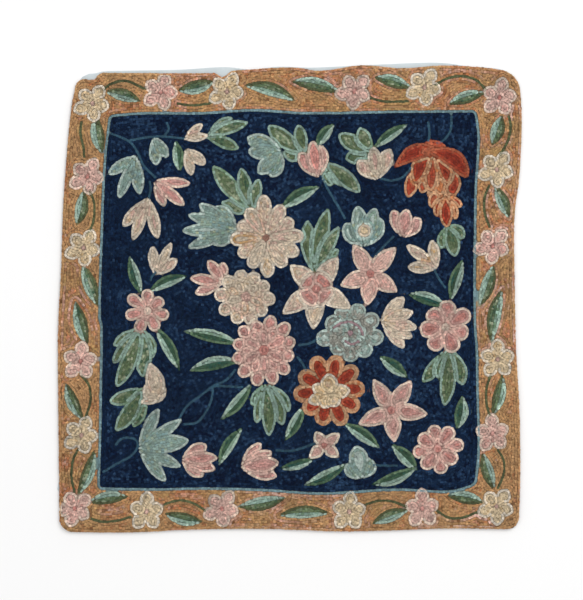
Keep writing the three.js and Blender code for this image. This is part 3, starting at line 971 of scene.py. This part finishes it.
def level_lines(field, level):
    """Lines of equal value in a field over the chart's cells, as runs of points."""
    above = field > level
    points, numbers = [], []
    cross_right = np.argwhere(above[:, :-1] != above[:, 1:])
    cross_down = np.argwhere(above[:-1] != above[1:])
    for crossings, (down, right) in ((cross_right, (0, 1)), (cross_down, (1, 0))):
        j, i = crossings.T
        here, there = field[j, i], field[j + down, i + right]
        share = (level - here) / (there - here)
        points.append(np.stack((across[i] + right * share * CELL, across[j] + down * share * CELL), -1))
        grid = np.full(field.shape, -1, np.int64)
        grid[j, i] = np.arange(len(j)) + (len(points[0]) if down else 0)
        numbers.append(grid)
    points = np.concatenate(points)
    right_of, down_of = numbers
    sides = np.stack((right_of[:-1, :-1], down_of[:-1, 1:], right_of[1:, :-1], down_of[:-1, :-1]), -1)
    met = (sides >= 0).sum(-1)
    # A square of cells with two crossings joins them, one with four joins them two and two
    paired, saddles = sides[met == 2], sides[met == 4]
    links = np.concatenate((paired[paired >= 0].reshape(-1, 2), saddles[:, :2], saddles[:, 2:]))
    next_to = np.full((len(points), 2), -1, np.int64)
    ends, others = np.concatenate((links, links[:, ::-1])).T
    order = np.argsort(ends, kind="stable")
    ends, others = ends[order], others[order]
    first = np.concatenate(([True], ends[1:] != ends[:-1]))
    next_to[ends[first], 0] = others[first]
    next_to[ends[~first], 1] = others[~first]
    next_to = next_to.tolist()
    used = [False] * len(points)
    runs = []
    for start in range(len(points)):
        if used[start]:
            continue
        run, at = [start], start
        used[start] = True
        while True:
            ahead = [n for n in next_to[at] if n >= 0 and not used[n]]
            if not ahead:
                break
            at = ahead[0]
            used[at] = True
            run.append(at)
        runs.append(points[run])
    return runs


def eased(run):
    """A closed run with its small steps smoothed out."""
    for _ in range(EASING_PASSES):
        run = 0.5 * run + 0.25 * (np.roll(run, 1, axis=0) + np.roll(run, -1, axis=0))
    return run


def stitched(run, closed):
    """Middles and directions of the stitches of a row along a run."""
    if closed:
        run = np.concatenate((run, run[:1]))
    steps = np.hypot(*np.diff(run, axis=0).T)
    lengths = np.concatenate(([0], np.cumsum(steps)))
    count = max(1, round(lengths[-1] / STITCH_LENGTH))
    goals = (np.arange(count) + 0.5) / count * lengths[-1]
    # A direction is read over half a stitch either way, or less where a ring is tiny
    reach = min(STITCH_LENGTH / 2, lengths[-1] / 4)
    middle, before, after = (
        np.stack([np.interp(np.clip(goals + by, 0, lengths[-1]), lengths, run[:, axis])
                  for axis in (0, 1)], -1)
        for by in (0, -reach, reach)
    )
    ahead = after - before
    ahead /= np.maximum(np.hypot(*ahead.T), 1e-6)[:, None]
    return middle, ahead


def cells_under(points):
    """Row and column of the cell under each point."""
    column, row = np.clip(((points + CHART_HALF) / CELL).astype(int), 0, cells - 1).T
    return row, column


# The drawing ends at the edge of the cloth
chart[~cells_inside(front_outline)] = -1
inset = distance_to_edges(chart)
thin_shapes = [number for number, shape in enumerate(shapes) if shape[3] == THIN]
inset[np.isin(chart, thin_shapes) | (chart < 0)] = 0

# Distance from each cell to the outside of its flower
flower_numbers = {name: number for number, name in enumerate(dict.fromkeys(s[4] for s in shapes))}
flower_of_shape = np.array([flower_numbers[shape[4]] for shape in shapes] + [-1])
outer = distance_to_edges(flower_of_shape[chart])

# Stitches so far, as columns: middles, directions, wool, piece, width and the dyeing of the row's yarn
middles, directions, wools, owners, widths, row_dyes = [], [], [], [], [], []


def add_stitches(middle, ahead, names, pieces, wide=1.0):
    middles.append(middle)
    directions.append(ahead)
    wools.extend(names)
    owners.extend(pieces)
    widths.append(np.full(len(middle), wide))
    row_dyes.append(np.full(len(middle), dice.normal()))


# Where two petals of one flower meet, the first row of each is worked in a tone paler than its fill
PALER = {"pink": "pink_soft", "rust": "rust_soft"}


def wools_for(points, numbers, rows):
    """Wool of each stitch: rim on the outside of a flower, then fill, then heart further in."""
    between = (rows == 0) & (outer[cells_under(points)] > ROW_PITCH)
    depth = np.where(between, 1, np.minimum(rows, 2))
    names = [shapes[number][which] for number, which in zip(numbers, depth)]
    return [PALER.get(name, name) if inner else name for name, inner in zip(names, between)]


row_number = 0
while ROW_PITCH * (row_number + 0.5) < inset.max():
    for run in level_lines(inset, ROW_PITCH * (row_number + 0.5)):
        if len(run) * CELL < STITCH_LENGTH:
            continue
        middle, ahead = stitched(eased(run), closed=True)
        numbers = chart[cells_under(middle)]
        kept = (numbers >= 0) & ahead.any(axis=1)
        middle, ahead, numbers = middle[kept], ahead[kept], numbers[kept]
        rows = np.full(len(numbers), row_number)
        add_stitches(middle, ahead, wools_for(middle, numbers, rows), [shapes[n][3] for n in numbers])
    row_number += 1

for run, wool, piece in single_rows:
    middle, ahead = stitched(run, closed=False)
    add_stitches(middle, ahead, [wool] * len(middle), [piece] * len(middle))

# Odd stitches fill the narrow gaps left where rows from two edges of a shape meet. There the distance
# from the edge stops rising, and a gap is left where it ends between two rows. Inset and gap are in
# row pitches, the room that a filler keeps clear in stitch lengths
RIDGE_SLOPE = 0.72
RIDGE_INSET = 0.35
GAP = (0.12, 0.46)
FILLER_CLEAR = 0.42
FILLER_WIDE = 0.8
down_slope, right_slope = np.gradient(inset, CELL)
ridge = (np.hypot(down_slope, right_slope) < RIDGE_SLOPE) & (inset > RIDGE_INSET * ROW_PITCH)
level_share = np.mod(inset / ROW_PITCH, 1)
gap = ridge & ((level_share < GAP[1]) | (inset < 0.5 * ROW_PITCH))
gap &= (level_share > GAP[0]) | (inset < ROW_PITCH)
xx = right_slope ** 2
yy = down_slope ** 2
xy = right_slope * down_slope
for _ in range(3):
    for field in (xx, yy, xy):
        field[:] = (field + np.roll(field, 1, 0) + np.roll(field, -1, 0)) / 3
        field[:] = (field + np.roll(field, 1, 1) + np.roll(field, -1, 1)) / 3
steepest = 0.5 * np.arctan2(2 * xy, xx - yy)
taken = np.zeros(chart.shape, bool)
candidates = np.argwhere(gap)
dice.shuffle(candidates)
clear = int(STITCH_LENGTH * FILLER_CLEAR / CELL)
filler = []
for row, column in candidates:
    if taken[row, column]:
        continue
    taken[max(0, row - clear):row + clear + 1, max(0, column - clear):column + clear + 1] = True
    filler.append((row, column))
filler_at = tuple(np.array(filler).T)
middle = np.stack((across[filler_at[1]], across[filler_at[0]]), -1)
turn = steepest[filler_at] + math.pi / 2
numbers = chart[filler_at]
rows = np.minimum(inset[filler_at] / ROW_PITCH, 2).astype(int)
add_stitches(middle, np.stack((np.cos(turn), np.sin(turn)), -1), wools_for(middle, numbers, rows),
             [shapes[n][3] for n in numbers], FILLER_WIDE)
row_dyes[-1] = dice.normal(size=len(filler))

middles = np.concatenate(middles)
directions = np.concatenate(directions)
widths = np.concatenate(widths)
row_dyes = np.concatenate(row_dyes)
wools = np.array(wools)
owners = np.array(owners)

# One strand: rings of its spine, as shares of the stitch length, row pitch and wool height, and
# whether the strand is full there or comes to its end
STRAND_RINGS = ((-0.66, 0.08, -0.05, 0.0), (-0.3, 0.22, 0.32, 1.0), (0.42, 0.26, 0.4, 1.0),
                (0.92, 0.12, 0.15, 0.0))
STRAND_HALF_WIDE = 0.29
STRAND_HALF_HIGH = 0.45
WOOL_HEIGHT = 1.0
STITCH_SUNK = 0.72
SPINE_LIFT = 0.35
SLOPE_STEP = 0.4
STEEPEST = 0.65

# Painted shade and light on a strand, as shares of its tone, at its ends, top, outer side and inner
# side: the ends and low sides darker, as shade falls between stitches and rows, the top lighter, as
# light falls on it
PAINTED_END_SHADE = 0.9
PAINTED_TOP_LIGHT = 1.04
PAINTED_OUTER_SHADE = 0.8
PAINTED_INNER_SHADE = 0.98

# How uneven the hand is: place in mm, turn in radians, and shares of width, height and strand tone
UNEVEN_PLACE = 0.1
UNEVEN_TURN = 0.06
UNEVEN_WIDTH = 0.06
UNEVEN_HEIGHT = 0.1
UNEVEN_TONE = 0.14


def soft_field(spread, seed):
    """Smooth uneven values over the cover, about 0, for dye lots and wear; spread is in mm."""
    dots = np.random.default_rng(seed).normal(size=(int(2 * CHART_HALF / spread) + 3,) * 2)

    def read(points):
        at = (points + CHART_HALF) / spread
        cell = np.clip(at.astype(int), 0, len(dots) - 2)
        t = at - cell
        t = t * t * (3 - 2 * t)
        column, row = cell.T
        low = dots[row, column] * (1 - t[:, 0]) + dots[row, column + 1] * t[:, 0]
        high = dots[row + 1, column] * (1 - t[:, 0]) + dots[row + 1, column + 1] * t[:, 0]
        return low * (1 - t[:, 1]) + high * t[:, 1]

    return read


DYE_STRENGTH = 0.89
dye_lot = soft_field(spread=14, seed=3)
patch_shade = soft_field(spread=30, seed=5)

tones = {name: wool_tone(code) * DYE_STRENGTH for name, code in WOOL.items()}
colours = np.array([tones[name] for name in wools])


def blend_towards(chosen, other, amount):
    """Shade the chosen stitches towards another wool by an amount from 0 to 1."""
    amount = np.clip(amount, 0, 1)[:, None]
    colours[chosen] = colours[chosen] * (1 - amount) + tones[other] * amount


# Wools that were dyed unevenly: main tone, second tone, and how much the second comes in evenly, in
# patches, by rows and from stitch to stitch
for name, other, even, patches, rows, single in (
    ("tan", "rust_tan", 0.05, 0.5, 0.5, 0.25),
    ("tan", "ochre", -0.05, -0.3, 0.35, 0.2),
    ("tan", "cream_pink", -0.3, 0.25, 0.35, 0.15),
    ("tan", "brown", -0.25, 0.0, 0.15, 0.45),
    ("navy", "navy_light", 0.0, 0.3, 0.55, 0.6),
    ("navy", "ink", 0.05, -0.25, 0.55, 0.6),
    ("pink", "rose", 0.0, 0.25, 0.25, 0.2),
    ("rose", "pink", 0.2, 0.2, 0.2, 0.25),
    ("pink_pale", "pink_soft", 0.1, 0.1, 0.1, 0.2),
    ("pink_soft", "rose", -0.05, 0.15, 0.15, 0.2),
    ("cream", "cream_pink", 0.1, 0.3, 0.25, 0.25),
    ("cream", "ochre", -0.1, -0.25, 0.2, 0.15),
    ("cream_pale", "cream", 0.15, 0.15, 0.15, 0.25),
    ("cream_soft", "ochre", -0.05, 0.1, 0.15, 0.25),
    ("olive", "leaf_dark", 0.1, 0.3, 0.3, 0.4),
    ("olive", "moss", -0.1, -0.2, 0.2, 0.45),
    ("sage", "leaf_dark", 0.15, 0.3, 0.4, 0.3),
    ("leaf_dark", "teal", 0.0, 0.3, 0.3, 0.3),
    ("mint", "sage", 0.0, 0.2, 0.3, 0.3),
    ("mint_pale", "mint", 0.1, 0.1, 0.1, 0.25),
    ("grey_green", "sage", -0.1, 0.1, 0.3, 0.25),
    ("grey_green", "line", 0.0, 0.2, 0.2, 0.2),
    ("grey_green", "moss", -0.05, 0.1, 0.1, 0.4),
    ("grey_pale", "grey_green", 0.1, 0.1, 0.1, 0.25),
    ("grey_warm", "grey_green", 0.2, 0.2, 0.2, 0.4),
    ("rust", "rust_deep", 0.1, 0.2, 0.3, 0.3),
    ("rust", "rust_soft", -0.1, -0.2, 0.2, 0.3),
    ("rust_soft", "rust", 0.1, 0.2, 0.3, 0.35),
    ("rust_rim", "rust_tan", 0.15, 0.2, 0.1, 0.35),
):
    chosen = wools == name
    amount = even + patches * dye_lot(middles[chosen]) + rows * row_dyes[chosen]
    blend_towards(chosen, other, amount + single * dice.normal(size=chosen.sum()))

# How far the shade strays in patches, by rows and from stitch to stitch
PATCH_SHADE = 0.05
ROW_SHADE = 0.08
STITCH_SHADE = 0.1
shade = 1 + PATCH_SHADE * patch_shade(middles) + ROW_SHADE * row_dyes
shade += STITCH_SHADE * dice.normal(size=len(middles))
colours *= np.clip(shade, 0.6, 1.5)[:, None]


def surface_frame(points, ahead):
    """Height of the wool's foot, and the directions along, across and out of the cloth there."""
    heights = []
    for dx, dy in ((0, 0), (1, 0), (-1, 0), (0, 1), (0, -1)):
        moved = points + (dx * SLOPE_STEP, dy * SLOPE_STEP)
        heights.append(wool_top(moved, distance_to_outline(moved, front_outline)))
    slope_x = (heights[1] - heights[2]) / (2 * SLOPE_STEP)
    slope_y = (heights[3] - heights[4]) / (2 * SLOPE_STEP)
    out = np.stack((-slope_x, -slope_y, np.ones(len(points))), -1)
    out /= np.linalg.norm(out, axis=1)[:, None]
    along = np.column_stack((ahead, slope_x * ahead[:, 0] + slope_y * ahead[:, 1]))
    along /= np.linalg.norm(along, axis=1)[:, None]
    return heights[0], along, np.cross(out, along), out


def stitch_mesh(name, chosen):
    """The chosen stitches as one joined mesh of strands, each strand a closed grain."""
    points, ahead, tone = middles[chosen], directions[chosen], colours[chosen]
    count = len(points)
    points = points + dice.normal(0, UNEVEN_PLACE, points.shape)
    turn = dice.normal(0, UNEVEN_TURN, count)
    ahead = np.stack((ahead[:, 0] * np.cos(turn) - ahead[:, 1] * np.sin(turn),
                      ahead[:, 0] * np.sin(turn) + ahead[:, 1] * np.cos(turn)), -1)
    height, along, aside, out = surface_frame(points, ahead)
    foot = np.column_stack((points, height - WOOL_HEIGHT * STITCH_SUNK))
    wide = widths[chosen] * dice.normal(1, UNEVEN_WIDTH, count) / np.maximum(out[:, 2], STEEPEST)
    tall = dice.normal(1, UNEVEN_HEIGHT, count)
    # Each corner carries its strand's tone with painted shade and light on it: darker ends and low
    # sides, a lighter top
    corners, painted_shades = [], []
    for side in (1, -1):
        strand_tone = tone * np.clip(dice.normal(1, UNEVEN_TONE, count), 0.5, 1.6)[:, None]
        for share_along, share_aside, share_up, full in STRAND_RINGS:
            spine = (foot + along * (share_along * STITCH_LENGTH)
                     + aside * (side * share_aside * ROW_PITCH * wide)[:, None]
                     + out * ((share_up + SPINE_LIFT) * WOOL_HEIGHT * tall)[:, None])
            if not full:
                corners.append(spine)
                painted_shades.append(strand_tone * PAINTED_END_SHADE)
                continue
            for sideways, upwards in ((1, -0.5), (0, 1), (-1, -0.5)):
                corners.append(spine + aside * (sideways * STRAND_HALF_WIDE * ROW_PITCH * wide)[:, None]
                               + out * (upwards * STRAND_HALF_HIGH * WOOL_HEIGHT))
                painted_low_shade = PAINTED_OUTER_SHADE if sideways == side else PAINTED_INNER_SHADE
                painted_shades.append(strand_tone * (PAINTED_TOP_LIGHT if upwards > 0 else painted_low_shade))
    per_stitch = len(corners)
    vertices = np.stack(corners, 1).reshape(-1, 3) / 1000
    colour = np.stack(painted_shades, 1).reshape(-1, 3)
    faces = []
    for start in (0, per_stitch // 2):
        first, second, last = start + 1, start + 4, start + 7
        for i in range(3):
            j = (i + 1) % 3
            faces += [(start, first + j, first + i), (second + i, second + j, last),
                      (first + i, first + j, second + j), (first + i, second + j, second + i)]
    faces = np.array(faces)
    faces = (faces[None] + per_stitch * np.arange(count)[:, None, None]).reshape(-1, 3)
    mesh = bpy.data.meshes.new(name)
    mesh.vertices.add(len(vertices))
    mesh.vertices.foreach_set("co", vertices.astype(np.float32).ravel())
    mesh.loops.add(faces.size)
    mesh.loops.foreach_set("vertex_index", faces.astype(np.int32).ravel())
    mesh.polygons.add(len(faces))
    mesh.polygons.foreach_set("loop_start", np.arange(0, faces.size, 3, dtype=np.int32))
    mesh.update(calc_edges=True)
    mesh.shade_smooth()
    # The wool colour attribute holds each strand's tone with its painted shade and light
    layer = mesh.color_attributes.new("wool", "FLOAT_COLOR", "POINT")
    layer.data.foreach_set("color", np.column_stack((colour, np.ones(len(colour)))).ravel())
    piece = bpy.data.objects.new(name, mesh)
    bpy.context.scene.collection.objects.link(piece)
    plan_map(piece)
    return piece


# Wool fibres: fine uneven flecks that darken, lighten and roughen a wool's colour
fibres, fibres_in, fibres_out = new_group(
    "wool_fibres",
    (("Color", "NodeSocketColor", (0.5, 0.5, 0.5, 1)), ("Darkest", "NodeSocketFloat", 0.7),
     ("Lightest", "NodeSocketFloat", 1.3)),
    (("Color", "NodeSocketColor"), ("Height", "NodeSocketFloat")),
)
join = fibres.links.new
place = new_node(fibres, "TexCoord")
fuzz = new_node(fibres, "TexNoise", Scale=900, Detail=4, Roughness=0.8)
join(place.outputs["Object"], fuzz.inputs["Vector"])
spread = new_node(fibres, "MapRange", From_Min=0.34, From_Max=0.66)
join(fuzz.outputs["Fac"], spread.inputs["Value"])
join(fibres_in.outputs["Darkest"], spread.inputs["To Min"])
join(fibres_in.outputs["Lightest"], spread.inputs["To Max"])
flecked = new_node(fibres, "VectorMath")
flecked.operation = "SCALE"
join(fibres_in.outputs["Color"], flecked.inputs[0])
join(spread.outputs["Result"], flecked.inputs["Scale"])
join(flecked.outputs[0], fibres_out.inputs["Color"])
join(fuzz.outputs["Fac"], fibres_out.inputs["Height"])


def wool_material(name, darkest, lightest, specular, sheen):
    """Wool in the colour that each stitch or place of the mesh carries."""
    made, shader = new_finish(name, Roughness=0.92, Specular_IOR_Level=specular, Sheen_Weight=sheen,
                              Sheen_Roughness=0.5)
    fleck = lay_pattern(made, shader, fibres, strength=0.5, distance=0.0003, Darkest=darkest,
                        Lightest=lightest)
    yarn = new_node(made.node_tree, "Attribute")
    yarn.attribute_name = "wool"
    made.node_tree.links.new(yarn.outputs["Color"], fleck.inputs["Color"])
    return made


navy_wool = wool_material("navy_wool", darkest=0.6, lightest=1.5, specular=0.04, sheen=0.015)
dyed_wool = wool_material("dyed_wool", darkest=0.72, lightest=1.28, specular=0.12, sheen=0.06)

STITCHES_A_PIECE = 7800
for owner in dict.fromkeys(owners.tolist()):
    chosen = np.flatnonzero(owners == owner)
    chosen = chosen[np.argsort(-middles[chosen, 1], kind="stable")]
    parts = math.ceil(len(chosen) / STITCHES_A_PIECE)
    for number, part in enumerate(np.array_split(chosen, parts), 1):
        name = f"{owner}_{number}" if parts > 1 else owner
        piece = stitch_mesh(name, part)
        piece.data.materials.append(navy_wool if owner == "field_ground" else dyed_wool)
        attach(piece, "root")

# Painted shade: under the stitches the ground cloth takes the colour of the wool above it, darkened, so
# that where it shows in the gaps between stitches it stands in for the shadow there
PAINTED_GAP_SHADE = 0.75
cloth_points = np.empty(len(front_cloth.data.vertices) * 3)
front_cloth.data.vertices.foreach_get("co", cloth_points)
cloth_points = cloth_points.reshape(-1, 3)[:, :2] * 1000
below = chart[cells_under(cloth_points)]
painted_gap_tones = np.array([tones[shape[1]] for shape in shapes] + [tones["tan"]])[below] * PAINTED_GAP_SHADE
layer = front_cloth.data.color_attributes.new("wool", "FLOAT_COLOR", "POINT")
layer.data.foreach_set("color", np.column_stack((painted_gap_tones, np.ones(len(painted_gap_tones)))).ravel())
front_cloth.data.materials.append(
    wool_material("ground_under_wool_painted_shade", darkest=0.8, lightest=1.1, specular=0.04, sheen=0.0))
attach(front_cloth, "root")
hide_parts("front_panel")
